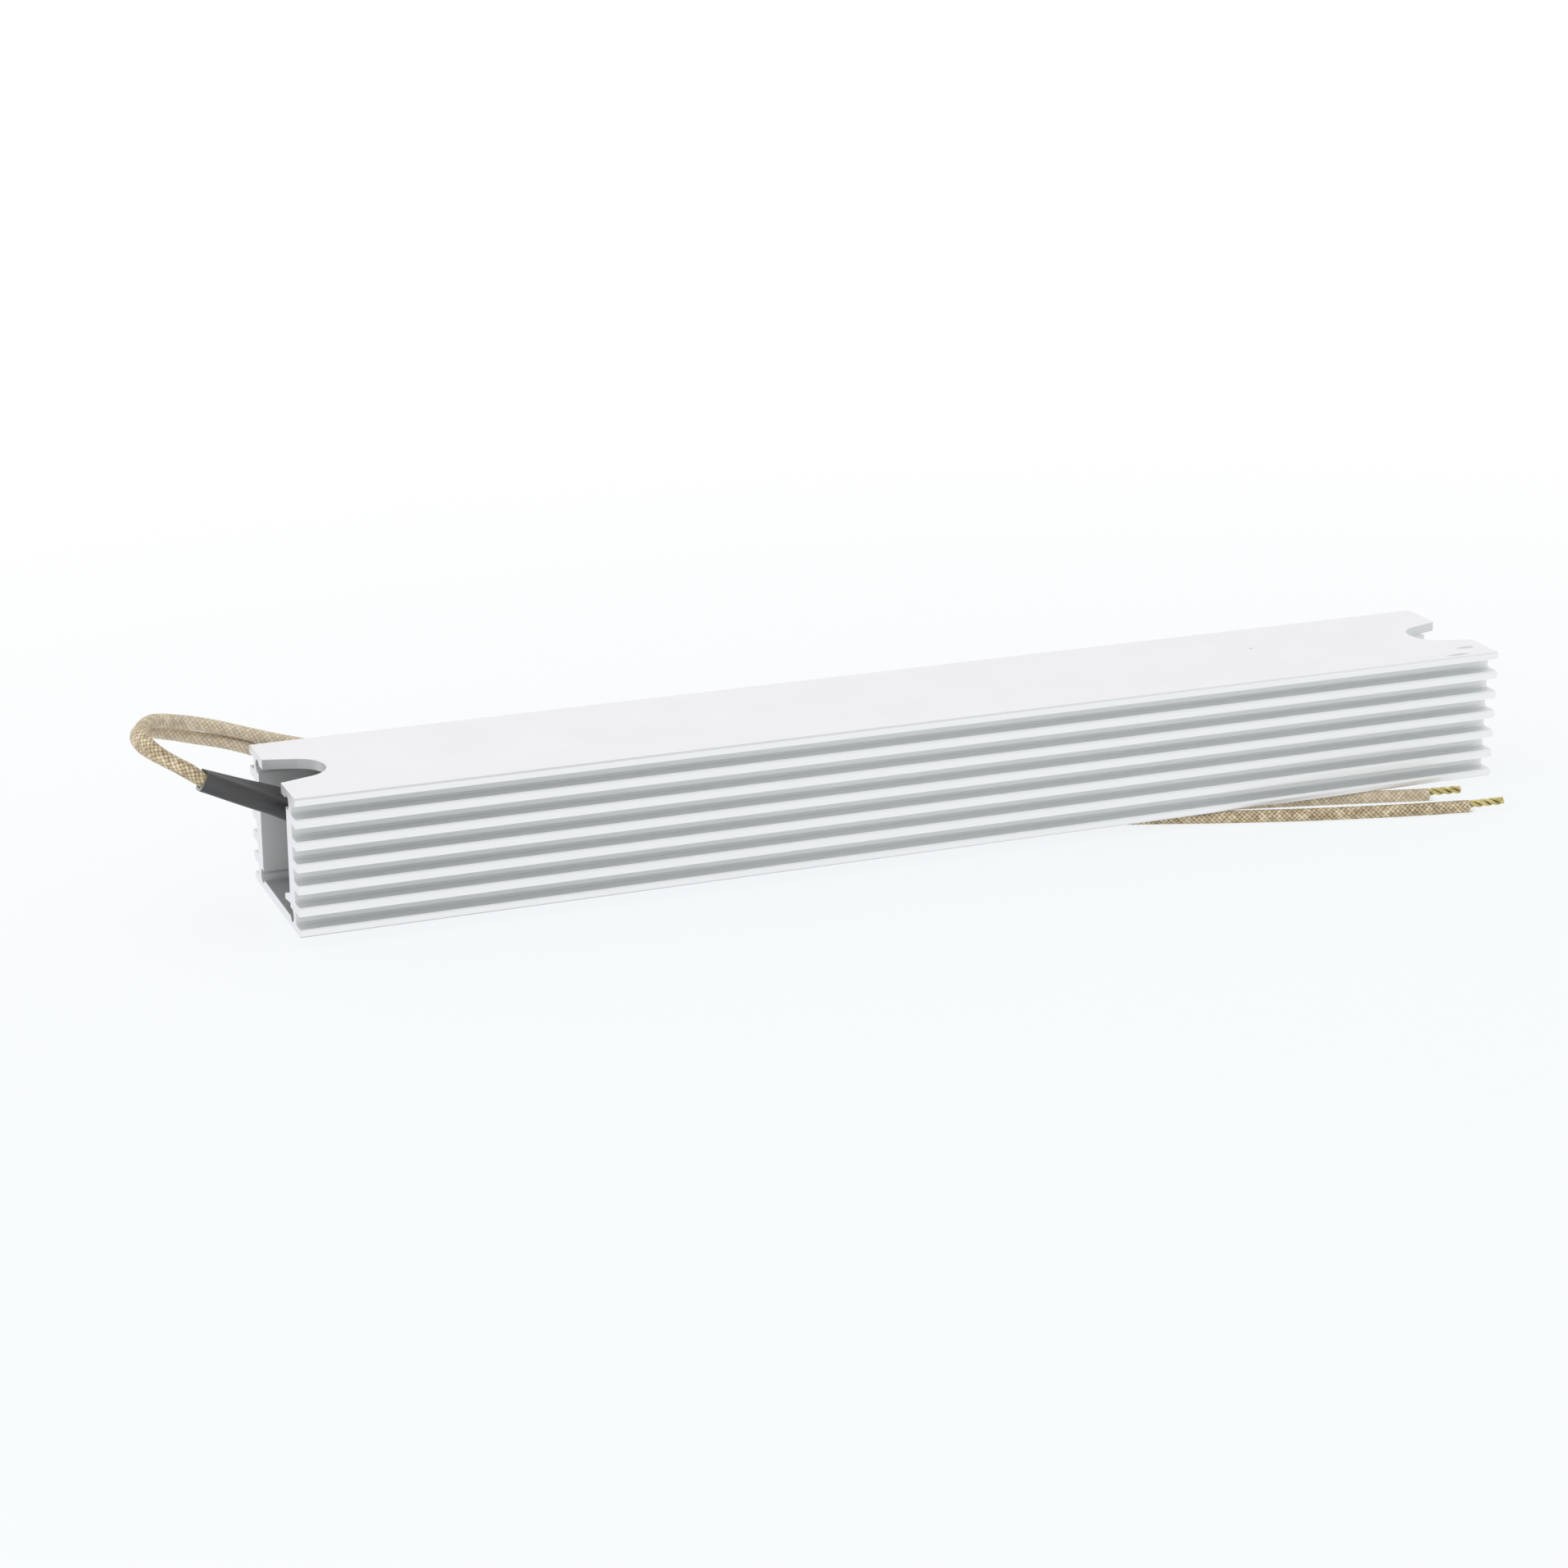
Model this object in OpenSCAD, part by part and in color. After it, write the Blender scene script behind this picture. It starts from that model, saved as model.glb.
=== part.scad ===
// Flat braking resistor in a finned aluminium extrusion, with two leads in one sleeve.
// Millimetres. X runs along the extrusion with the lead end at -X, and Z is up.
// The origin is the middle of the housing.

/* [Housing] */
// Length of the extrusion
housing_length = 260; // [180:1:320]
// Width over the fin tips
housing_width = 36; // [34:0.5:44]
// Height over the two plates
housing_height = 27.5; // [25:0.5:34]
// Thickness of the top and bottom plates
plate_t = 2; // [1.6:0.1:2.6]
// Thickness of the side walls behind the fins
wall_t = 3.6; // [3:0.1:4.4]
// Small bevel along the four long outer edges
edge_bevel = 0.5; // [0.2:0.1:0.8]

/* [Fins] */
// Fins between the two flanges on each side
fin_count = 5; // [3:1:6]
// How far fins and flanges stand out from the side wall
fin_depth = 3.7; // [2.5:0.1:4.2]
// Thickness of a fin
fin_t = 1.8; // [1.4:0.1:2]
// Thickness of the flanges along the top and the base
flange_t = 1.6; // [1.5:0.1:2]
// Bevel on the fin tips
tip_bevel = 0.45; // [0.1:0.05:0.6]
// Bevel that thickens a fin at its root
root_bevel = 0.4; // [0.1:0.1:0.6]

/* [Cavity] */
// Diameter of the round groove in each corner of the cavity
groove_d = 2.8; // [2.2:0.1:3]
// How far a groove's centre lies beyond the side wall's inner face
groove_out = 0.8; // [0.4:0.1:1]
// How far a groove's centre lies inside the plate's inner face
groove_in = 0.55; // [0.4:0.05:0.9]
// Height of the inner rib's underside above the base, at the wall
rib_level = 4.7; // [4.2:0.1:6]
// Thickness of the inner rib at the wall
rib_root_t = 2; // [1.4:0.1:2.4]
// Thickness of the inner rib at its tip
rib_tip_t = 1.2; // [0.8:0.1:1.4]
// How far the inner rib stands out from the wall
rib_reach = 3.9; // [2.5:0.1:4.5]
// How far the rib's underside drops on the way to its tip
rib_drop = 0.5; // [0:0.1:0.9]

/* [Ends] */
// Width of the notch in the top plate, at the end of the housing
notch_width = 15; // [10:0.5:16]
// Depth of that notch from the end of the housing
notch_depth = 10.5; // [9:0.5:14]
// Diameter of the notch's round end as a share of its width
notch_round = 0.78; // [0.6:0.02:1]
// Diameter of the mounting holes in the bottom plate
hole_d = 4.5; // [3.5:0.1:5.5]
// Distance from a mounting hole's centre to the end of the housing
hole_inset = 5.5; // [4.5:0.1:8]
// Depth of the open pocket at each end, down to the plug
pocket_depth = 18; // [15.5:0.5:24]
// Length of the cast plugs
plug_length = 8; // [6:0.5:12]

/* [Element] */
// Height of the element and of the lead passages above the housing's middle
exit_z = 2; // [1.5:0.1:2.5]
// Height of the mica former
former_height = 14; // [11:0.5:16]
// Thickness of the mica former
former_t = 1; // [0.8:0.1:1.4]
// Thickness of each mica cover sheet
sheet_t = 0.5; // [0.3:0.1:0.8]
// Diameter of the resistance wire
wire_d = 0.6; // [0.4:0.1:0.8]
// Distance between turns of one strand of the winding
winding_pitch = 8; // [6:0.5:12]
// Depth of the notches in the former's edges
card_notch_depth = 0.9; // [0.8:0.1:1.2]
// Bare card beyond the winding at each end
card_margin = 8; // [6:0.5:12]
// Room for the splices between the lead plug and the former
splice_room = 22; // [20:0.5:30]

/* [Leads] */
// Diameter over a lead's braid
lead_d = 2.7; // [2.4:0.1:2.8]
// Diameter of a stripped strand end
strand_d = 1.5; // [1.2:0.1:1.8]
// Length of a stripped strand end
strip_length = 7.5; // [5:0.5:12]
// Wall of the sleeve round the two leads
sleeve_wall = 0.7; // [0.5:0.1:0.9]
// Degrees by which the second lead lies above the level of the first at the plug
pair_turn_plug = 45; // [0:1:60]
// Degrees by which it lies above that level at the sleeve's mouth
pair_turn_mouth = -8; // [-20:1:20]
// How far each lead reaches past the plug to its splice
lead_tail = 2; // [1:0.5:3]
// Diameter of a splice barrel
crimp_d = 2.4; // [2:0.1:2.6]
// Length of a splice barrel
crimp_length = 9; // [7:0.5:11]
// Depth of the bore that takes the winding's tail
crimp_bore_depth = 4; // [3:0.5:5]

/* [Clearances] */
// Gap between the cast filling and the cavity's walls
fill_gap = 0.05; // [0.02:0.01:0.1]
// Gap round each lead in its passage and in the sleeve
lead_gap = 0.12; // [0.05:0.01:0.2]
// Half of the gap between the two leads
pair_gap = 0.22; // [0.22:0.01:0.35]
// Gap round the resistance wire in notches, splices and between the mica pieces
wire_gap = 0.05; // [0.03:0.01:0.1]
// Gap round the element in the filling
pack_gap = 0.2; // [0.1:0.05:0.4]

/* [Hidden] */
$fn = 64;
// Cutters reach this far past the faces they cut.
cut = 1;
lead_sides = 8;
strand_sides = 24;
wire_sides = 6;
sleeve_sides = 16;

half_length = housing_length / 2;
core_half = housing_width / 2 - fin_depth;
inner_half = core_half - wall_t;
cavity_height = housing_height - 2 * plate_t;
fin_gap = (housing_height - 2 * flange_t - fin_count * fin_t) / (fin_count + 1);
flange_z = (housing_height - flange_t) / 2;
groove_y = inner_half + groove_out;
groove_z = cavity_height / 2 - groove_in;

// Places along X counted from the lead end's plane, inwards positive.
plug_inner = pocket_depth + plug_length;
splice_start = plug_inner + lead_tail;
splice_end = splice_start + crimp_length;
former_start = plug_inner + splice_room;
former_end = housing_length - plug_inner;
former_length = former_end - former_start;
winding_start = former_start + card_margin;
turns = floor((former_length - 2 * card_margin) / winding_pitch) - 1;

// Centre line of the wire on the card: beside its faces, and in the notches of its edges.
wire_y = former_t / 2 + wire_gap + wire_d / 2;
wire_z = former_height / 2 - card_notch_depth + wire_gap + wire_d / 2;
sheet_y = wire_y + wire_d / 2 + wire_gap;
pack_y = sheet_y + sheet_t + pack_gap;
pack_z = former_height / 2 + pack_gap;

// Middle line of the sleeve, from the plug to its mouth, as [from the end plane, y, z].
straight_exit = 4.5;
sleeve_route = [
    [pocket_depth, 0, exit_z],
    [pocket_depth - straight_exit, 0, exit_z],
    [9.5, 0, 3.1],
    [5.5, 0, 5.2],
    [0.5, 0.15, 7.7],
    [-4.5, 0.5, 9.7],
    [-9, 1, 11.5],
    [-12.5, 1.5, 12.9]
];
// The loop each lead makes in the air beyond the sleeve.
lead_a_loop = [
    [-14.7, 0.8, 15], [-17.3, 2.1, 16.6], [-20, 4.3, 18.3], [-21.6, 7.4, 19.6], [-22, 10.6, 20.4],
    [-21.5, 13.1, 20.7], [-20.4, 15.5, 20.7], [-18.7, 18, 20.5], [-15.6, 20.6, 19.6], [-13, 22.1, 18.7],
    [-8.9, 23.1, 17.5], [-4, 23.5, 15.9], [1.5, 23.7, 13.9], [8, 23.8, 11.7], [14.5, 23.6, 9.6],
    [24, 23.5, 4], [31.5, 23.5, -4], [39, 23, -10.5], [47.5, 22.5, -14]
];
lead_b_loop = [
    [-15.6, 4.5, 14.6], [-19.5, 7.8, 16.6], [-21.6, 11.7, 17.6], [-21.9, 15.9, 18.2], [-21, 18.9, 18.3],
    [-19.8, 21, 18], [-16.8, 23.3, 16.7], [-13.5, 24.3, 15.6], [-8.6, 24.7, 14.1], [-4.7, 24.4, 13.1],
    [1.6, 24, 10.9], [9.4, 23, 7.5], [15.2, 22.2, 4], [20.5, 21.5, -1], [26, 21, -6.5], [33, 20.5, -12]
];
// The run of each lead on the surface, as [from the end plane, y].
lead_a_run = [
    [57, 22.2], [69, 21.5], [81, 20], [93, 17.3], [106, 13.9], [119, 10.5], [132, 7.1], [145, 3.7],
    [158, 0.4], [171, -2.8], [184, -5.9], [196, -8.8], [208, -11.7], [219, -14.4], [231, -17.4],
    [243.3, -20.6]
];
lead_b_run = [
    [41, 19.3], [51, 15.3], [63, 11.8], [76, 9.3], [90, 7.8], [104, 6.3], [118, 4.2], [132, 1.6],
    [146, -1.5], [160, -5.3], [173, -9.3], [186, -13.7], [197, -17.5], [205.5, -20.2], [214, -22.7],
    [222, -24.8], [231, -27], [239, -28.7], [247, -30.2]
];
// The housing lies on its leads, so they run just under its base.
run_z = -(housing_height + lead_d) / 2;

// The two leads lie side by side in the sleeve, the first nearer to -Y, and turn a little on the way.
lead_half_spread = lead_d / 2 + pair_gap;
sleeve_last = len(sleeve_route) - 1;
function pair_turn(i) = pair_turn_plug + (pair_turn_mouth - pair_turn_plug) * i / sleeve_last;
pair_axes = let (level = carried(sleeve_route, [0, 1, 0]))
    [for (i = [0 : sleeve_last])
        let (t = pair_turn(i))
        cos(t) * level[i] - sin(t) * cross(heading(sleeve_route, i), level[i])
    ];
first_lead = -lead_half_spread * pair_axes[0];
second_lead = -first_lead;
bay_y = lead_half_spread + crimp_d / 2 + pack_gap;

// The lead from its splice, through the plug and the sleeve, round the loop and along the surface.
function lead_route(side, loop, run) = concat(
    [[splice_start, 0, exit_z] + side * lead_half_spread * pair_axes[0]],
    [for (i = [0 : sleeve_last]) sleeve_route[i] + side * lead_half_spread * pair_axes[i]],
    loop,
    [for (p = run) [p.x, p.y, run_z]]
);
lead_a_route = lead_route(-1, lead_a_loop, lead_a_run);
lead_b_route = lead_route(1, lead_b_loop, lead_b_run);

// The winding runs out along the card and back between its own turns, so both tails are at the lead end.
function step(k) = winding_start + k * winding_pitch;
function tail(side, y) = [
    [splice_end - crimp_bore_depth + wire_d, 0, exit_z] + side,
    [splice_end + wire_d, 0, exit_z] + side,
    [former_start - wire_d, y, exit_z - wire_z],
    [former_start + wire_d, y, exit_z - wire_z]
];
outward_turns = [for (k = [0 : turns - 1])
    each [
        [step(k), -wire_y, -wire_z],
        [step(k + 0.5), -wire_y, wire_z],
        [step(k + 0.5), wire_y, wire_z],
        [step(k + 1), wire_y, -wire_z]
    ]
];
far_bend = [
    [step(turns), -wire_y, -wire_z],
    [step(turns + 0.5), -wire_y, wire_z],
    [step(turns + 1), -wire_y, wire_z],
    [step(turns + 0.5), -wire_y, -wire_z]
];
return_turns = [for (k = [turns : -1 : 1])
    each [
        [step(k + 0.5), wire_y, -wire_z],
        [step(k), wire_y, wire_z],
        [step(k), -wire_y, wire_z],
        [step(k - 0.5), -wire_y, -wire_z]
    ]
];
last_crossing = [[step(0.5), wire_y, -wire_z]];
card_turns = concat(outward_turns, far_bend, return_turns, last_crossing);
return_tail = tail(second_lead, wire_y);
winding_route = concat(
    tail(first_lead, -wire_y),
    [for (p = card_turns) p + [0, 0, exit_z]],
    [for (i = [len(return_tail) - 1 : -1 : 0]) return_tail[i]]
);

// Sections swept along a route: a many-sided disc, and a flat oval round two leads.
function disc(d, sides) = [for (k = [0 : sides - 1])
    let (a = 360 * (k + 0.5) / sides) d / 2 * [cos(a), sin(a)]
];
function oval(r, half, sides) = [for (k = [0 : sides - 1])
    let (a = 360 * (k + 0.5) / sides)
    [r * cos(a) + (cos(a) > 0 ? half : -half), r * sin(a)]
];

// Direction along a route at one of its points, a normal carried along it without twist, and mitred rings.
function unit(v) = v / norm(v);
function leg(route, i) = unit(route[i + 1] - route[i]);
function heading(route, i) =
    i == 0 ? leg(route, 0)
    : i == len(route) - 1 ? leg(route, i - 1)
    : unit(leg(route, i) + leg(route, i - 1));
function across(normal, along) = unit(normal - along * (normal * along));
function carry(normal, was, now) = normal - (normal * now) / (1 + was * now) * (was + now);
function carried(route, first) = [
    for (
        i = 0, n = across(first, heading(route, 0));
        i < len(route);
        i = i + 1, n = i < len(route) ? carry(n, heading(route, i - 1), heading(route, i)) : n
    ) n
];
function inner_point(route, i) = i > 0 && i < len(route) - 1;
function bend(route, i) =
    let (d = inner_point(route, i) ? leg(route, i) - leg(route, i - 1) : [0, 0, 0])
    norm(d) > 0 ? unit(d) : d;
function mitre(route, i) =
    inner_point(route, i) ? 1 / (heading(route, i) * leg(route, i - 1)) - 1 : 0;
function ring(centre, along, normal, stretch, section) = [
    for (p = section)
        let (v = p.x * normal + p.y * cross(along, normal))
        centre + v + (v * stretch) * stretch
];
function rings(route, section, normals) = [
    for (i = [0 : len(route) - 1])
        let (stretch = bend(route, i) * sqrt(max(0, mitre(route, i))))
        each ring(route[i], heading(route, i), normals[i], stretch, section)
];
function walls(count, sides, start) = [
    for (i = [0 : count - 2], k = [0 : sides - 1])
        let (a = start + i * sides, n = (k + 1) % sides)
        [a + k, a + sides + k, a + sides + n, a + n]
];
function turned(face) = [for (i = [len(face) - 1 : -1 : 0]) face[i]];
function split(quads) = [for (q = quads) each [[q[0], q[1], q[2]], [q[0], q[2], q[3]]]];
function cap(sides, start) = [for (k = [0 : sides - 1]) start + k];
function collar(sides, outer, inner) = [
    for (k = [0 : sides - 1]) let (n = (k + 1) % sides) [outer + k, outer + n, inner + n, inner + k]
];

// Solid cord along a route.
module cord(route, section) {
    count = len(route);
    sides = len(section);
    faces = concat(
        walls(count, sides, 0),
        [cap(sides, 0), turned(cap(sides, (count - 1) * sides))]
    );
    polyhedron(rings(route, section, carried(route, [0, 0, 1])), faces);
}

// Hollow sleeve along a route, turned with the given normals.
module tube(route, outer, bore, normals) {
    count = len(route);
    sides = len(outer);
    skin = count * sides;
    last = (count - 1) * sides;
    faces = concat(
        split(walls(count, sides, 0)),
        [for (face = split(walls(count, sides, skin))) turned(face)],
        collar(sides, 0, skin),
        [for (face = collar(sides, last, skin + last)) turned(face)]
    );
    polyhedron(concat(rings(route, outer, normals), rings(route, bore, normals)), faces);
}

// Moves a shape counted from the lead end's plane to its place in the housing.
module from_lead_end(x = 0) {
    translate([x - half_length, 0, 0]) children();
}

// Extrudes a section drawn in Y and Z along X.
module along_x(length) {
    rotate([90, 0, 90]) linear_extrude(length) children();
}

// Outline of a fin or flange, from inside the wall to the bevelled tip.
module fin_section(thickness) {
    half = thickness / 2;
    foot = half + root_bevel;
    polygon([
        [-wall_t / 2, -foot],
        [0, -foot],
        [root_bevel, -half],
        [fin_depth - tip_bevel, -half],
        [fin_depth, tip_bevel - half],
        [fin_depth, half - tip_bevel],
        [fin_depth - tip_bevel, half],
        [root_bevel, half],
        [0, foot],
        [-wall_t / 2, foot]
    ]);
}

module bevelled_rectangle(w, h, bevel) {
    polygon([for (q = [[1, 1], [-1, 1], [-1, -1], [1, -1]])
        each let (
            side = [q.x * w / 2, q.y * (h / 2 - bevel)],
            level = [q.x * (w / 2 - bevel), q.y * h / 2]
        )
        q.x * q.y > 0 ? [side, level] : [level, side]
    ]);
}

module rib_section(gap) {
    root_y = -inner_half - wall_t / 2;
    tip_y = rib_reach - inner_half + gap;
    low = rib_level - housing_height / 2;
    slope = rib_drop / rib_reach;
    taper = (rib_root_t - rib_tip_t) / rib_reach;
    root_low = low + slope * wall_t / 2;
    root_high = low + rib_root_t + (slope + taper) * wall_t / 2;
    polygon([
        [root_y, root_low - gap],
        [tip_y, low - rib_drop - gap],
        [tip_y, low - rib_drop + rib_tip_t + gap],
        [root_y, root_high + gap]
    ]);
}

// The hollow of the extrusion, drawn in by a gap for what is cast into it.
module cavity_section(gap) {
    difference() {
        union() {
            square([2 * (inner_half - gap), cavity_height - 2 * gap], center = true);
            for (y = [-groove_y, groove_y], z = [-groove_z, groove_z])
                translate([y, z]) circle(d = groove_d - 2 * gap);
        }
        rib_section(gap);
    }
}

module housing_section() {
    difference() {
        intersection() {
            bevelled_rectangle(housing_width, housing_height, edge_bevel);
            union() {
                square([2 * core_half, housing_height], center = true);
                for (side = [0, 180])
                    rotate(side) {
                        for (i = [1 : fin_count])
                            translate([core_half, (i - (fin_count + 1) / 2) * (fin_t + fin_gap)])
                                fin_section(fin_t);
                        for (z = [-flange_z, flange_z])
                            translate([core_half, z]) fin_section(flange_t);
                    }
            }
        }
        cavity_section(0);
    }
}

// Notch through the top plate with a round end and sides that open outwards, drawn at the +X end.
module plate_notch() {
    round_r = notch_round * notch_width / 2;
    inset = notch_depth - round_r;
    corner = [inset, notch_width / 2];
    touch = atan2(corner.y, corner.x) + acos(round_r / norm(corner));
    side_start = round_r * [cos(touch), sin(touch)];
    translate([half_length - inset, 0, housing_height / 2 - plate_t - cut])
        linear_extrude(plate_t + 2 * cut) {
            circle(round_r);
            polygon([
                side_start,
                corner,
                [inset + cut, corner.y],
                [inset + cut, -corner.y],
                [inset, -corner.y],
                [side_start.x, -side_start.y]
            ]);
        }
}

module mounting_hole() {
    translate([half_length - hole_inset, 0, -housing_height / 2 - cut])
        cylinder(d = hole_d, h = plate_t + 2 * cut);
}

module housing() {
    color([0.90, 0.90, 0.92])
        difference() {
            from_lead_end() along_x(housing_length) housing_section();
            for (end = [0, 180])
                rotate(end) {
                    plate_notch();
                    mounting_hole();
                }
        }
}

module lead_end_plug() {
    color([0.78, 0.76, 0.71])
        difference() {
            from_lead_end(pocket_depth) along_x(plug_length) cavity_section(fill_gap);
            for (side = [first_lead, second_lead])
                from_lead_end(pocket_depth - cut)
                    translate(side + [0, 0, exit_z])
                        rotate([0, 90, 0]) cylinder(d = lead_d + 2 * lead_gap, h = plug_length + 2 * cut);
        }
}

module blind_end_plug() {
    color([0.78, 0.76, 0.71])
        from_lead_end(former_end) along_x(plug_length) cavity_section(fill_gap);
}

// Packed sand from plug to plug, round the element and the splices.
module sand_fill() {
    color([0.80, 0.73, 0.58])
        difference() {
            from_lead_end(plug_inner) along_x(former_end - plug_inner) cavity_section(fill_gap);
            from_lead_end(plug_inner - cut)
                translate([0, -pack_y, exit_z - pack_z])
                    cube([former_end - plug_inner + 2 * cut, 2 * pack_y, 2 * pack_z]);
            from_lead_end(plug_inner - cut)
                translate([0, -bay_y, exit_z - pack_z])
                    cube([splice_room + cut, 2 * bay_y, 2 * pack_z]);
        }
}

// Mica card with a row of notches in both edges.
module mica_former() {
    notch_w = wire_d + 2 * wire_gap;
    color([0.76, 0.70, 0.52])
        from_lead_end(former_start)
            translate([0, former_t / 2, exit_z]) rotate([90, 0, 0]) linear_extrude(former_t)
                difference() {
                    translate([0, -former_height / 2]) square([former_length, former_height]);
                    for (k = [1 : 2 * turns + 1], edge = [-1, 1])
                        translate([step(k / 2) - former_start, edge * former_height / 2])
                            square([notch_w, 2 * card_notch_depth], center = true);
                }
}

module mica_sheet() {
    from_lead_end(former_start)
        translate([0, sheet_y, exit_z - former_height / 2]) cube([former_length, sheet_t, former_height]);
}

module mica_sheet_near() {
    color([0.80, 0.74, 0.58]) mirror([0, 1, 0]) mica_sheet();
}

module mica_sheet_far() {
    color([0.80, 0.74, 0.58]) mica_sheet();
}

module resistance_wire() {
    color([0.56, 0.56, 0.58])
        from_lead_end() cord(winding_route, disc(wire_d, wire_sides));
}

// Splice barrel that butts on a lead and takes one tail of the winding.
module crimp(side) {
    from_lead_end()
        translate(side + [splice_start, 0, exit_z]) rotate([0, 90, 0])
            difference() {
                cylinder(d = crimp_d, h = crimp_length);
                translate([0, 0, crimp_length - crimp_bore_depth])
                    cylinder(d = wire_d + 2 * wire_gap, h = crimp_bore_depth + cut);
            }
}

module crimp_a() {
    color([0.80, 0.80, 0.80]) crimp(first_lead);
}

module crimp_b() {
    color([0.80, 0.80, 0.80]) crimp(second_lead);
}

module lead_a() {
    color([0.80, 0.72, 0.58]) from_lead_end() cord(lead_a_route, disc(lead_d, lead_sides));
}

module lead_b() {
    color([0.80, 0.72, 0.58]) from_lead_end() cord(lead_b_route, disc(lead_d, lead_sides));
}

// Stripped strand end, straight on from the end of a lead and level with the top of its braid.
module conductor(route) {
    end = route[len(route) - 1];
    ahead = end - route[len(route) - 2];
    rise = (lead_d - strand_d) / 2;
    from_lead_end()
        translate(end + [0, 0, rise]) rotate([0, 90, atan2(ahead.y, ahead.x)])
            cylinder(d = strand_d, h = strip_length, $fn = strand_sides);
}

module conductor_a() {
    color([0.78, 0.70, 0.36]) conductor(lead_a_route);
}

module conductor_b() {
    color([0.78, 0.70, 0.36]) conductor(lead_b_route);
}

module sleeve() {
    bore_r = lead_d / 2 + lead_gap;
    color([0.22, 0.22, 0.23])
        from_lead_end()
            tube(
                sleeve_route,
                oval(bore_r + sleeve_wall, lead_half_spread, sleeve_sides),
                oval(bore_r, lead_half_spread, sleeve_sides),
                pair_axes
            );
}

housing();
lead_end_plug();
blind_end_plug();
sand_fill();
mica_former();
mica_sheet_near();
mica_sheet_far();
resistance_wire();
crimp_a();
crimp_b();
lead_a();
lead_b();
conductor_a();
conductor_b();
sleeve();
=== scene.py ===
"""Looks of the braking resistor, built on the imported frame."""

import math

import bpy
import numpy as np
from mathutils import Euler, Matrix, Vector


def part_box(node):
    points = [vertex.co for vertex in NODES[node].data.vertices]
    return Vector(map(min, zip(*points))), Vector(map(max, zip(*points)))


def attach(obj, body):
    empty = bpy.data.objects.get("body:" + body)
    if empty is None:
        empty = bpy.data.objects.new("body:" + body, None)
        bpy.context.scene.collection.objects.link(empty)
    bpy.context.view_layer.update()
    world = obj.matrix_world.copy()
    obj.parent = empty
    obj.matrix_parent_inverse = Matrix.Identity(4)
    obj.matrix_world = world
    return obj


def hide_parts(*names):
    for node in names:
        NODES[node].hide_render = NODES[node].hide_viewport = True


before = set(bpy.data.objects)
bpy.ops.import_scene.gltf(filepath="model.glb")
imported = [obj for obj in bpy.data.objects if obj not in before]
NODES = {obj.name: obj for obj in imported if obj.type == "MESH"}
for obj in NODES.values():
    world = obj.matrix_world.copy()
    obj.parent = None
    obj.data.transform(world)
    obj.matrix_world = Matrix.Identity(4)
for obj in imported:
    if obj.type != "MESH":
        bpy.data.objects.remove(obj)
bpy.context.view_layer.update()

MM = 0.001
HOUSING_LOW, HOUSING_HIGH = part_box("housing")
LEAD_END_X = HOUSING_LOW.x
FLOOR_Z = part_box("lead_a")[0].z

# Camera of the photo: it looks along +Y, turned to the right, tipped down and rolled a little.
CAMERA_PLACE = Vector((-267.19, -599.77, 214.55)) * MM
CAMERA_TURN = math.radians(21.943)
CAMERA_DOWN = math.radians(18.501)
CAMERA_ROLL = math.radians(0.023)
CAMERA_LENS = 77.8
CAMERA_SENSOR = 36
CAMERA_CLIP = 10 * MM
camera_data = bpy.data.cameras.new("camera")
camera_data.sensor_width = CAMERA_SENSOR
camera_data.lens = CAMERA_LENS
camera_data.clip_start = CAMERA_CLIP
camera = bpy.data.objects.new("camera", camera_data)
turn = Euler((math.pi / 2 - CAMERA_DOWN, 0, -CAMERA_TURN)).to_matrix()
roll = Matrix.Rotation(CAMERA_ROLL, 3, "Z")
camera.matrix_world = Matrix.LocRotScale(CAMERA_PLACE, (turn @ roll).to_quaternion(), None)
bpy.context.scene.collection.objects.link(camera)
bpy.context.scene.camera = camera

# Routes of the sleeve and the leads in millimetres from the lead end's plane, as in the CAD: the
# leads loop through the air and then run along the floor.
LEAD_D = 2.7 * MM
SLEEVE_ROUTE = [
    (18, 0, 2), (13.5, 0, 2), (9.5, 0, 3.1), (5.5, 0, 5.2), (0.5, 0.15, 7.7), (-4.5, 0.5, 9.7),
    (-9, 1, 11.5), (-12.5, 1.5, 12.9),
]
LEAD_A_LOOP = [
    (-14.7, 0.8, 15), (-17.3, 2.1, 16.6), (-20, 4.3, 18.3), (-21.6, 7.4, 19.6), (-22, 10.6, 20.4),
    (-21.5, 13.1, 20.7), (-20.4, 15.5, 20.7), (-18.7, 18, 20.5), (-15.6, 20.6, 19.6),
    (-13, 22.1, 18.7), (-8.9, 23.1, 17.5), (-4, 23.5, 15.9), (1.5, 23.7, 13.9), (8, 23.8, 11.7),
    (14.5, 23.6, 9.6), (24, 23.5, 4), (31.5, 23.5, -4), (39, 23, -10.5), (47.5, 22.5, -14),
]
LEAD_A_RUN = [
    (57, 22.2), (69, 21.5), (81, 20), (93, 17.3), (106, 13.9), (119, 10.5), (132, 7.1), (145, 3.7),
    (158, 0.4), (171, -2.8), (184, -5.9), (196, -8.8), (208, -11.7), (219, -14.4), (231, -17.4),
    (243.3, -20.6),
]
LEAD_B_LOOP = [
    (-15.6, 4.5, 14.6), (-19.5, 7.8, 16.6), (-21.6, 11.7, 17.6), (-21.9, 15.9, 18.2),
    (-21, 18.9, 18.3), (-19.8, 21, 18), (-16.8, 23.3, 16.7), (-13.5, 24.3, 15.6),
    (-8.6, 24.7, 14.1), (-4.7, 24.4, 13.1), (1.6, 24, 10.9), (9.4, 23, 7.5), (15.2, 22.2, 4),
    (20.5, 21.5, -1), (26, 21, -6.5), (33, 20.5, -12),
]
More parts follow.
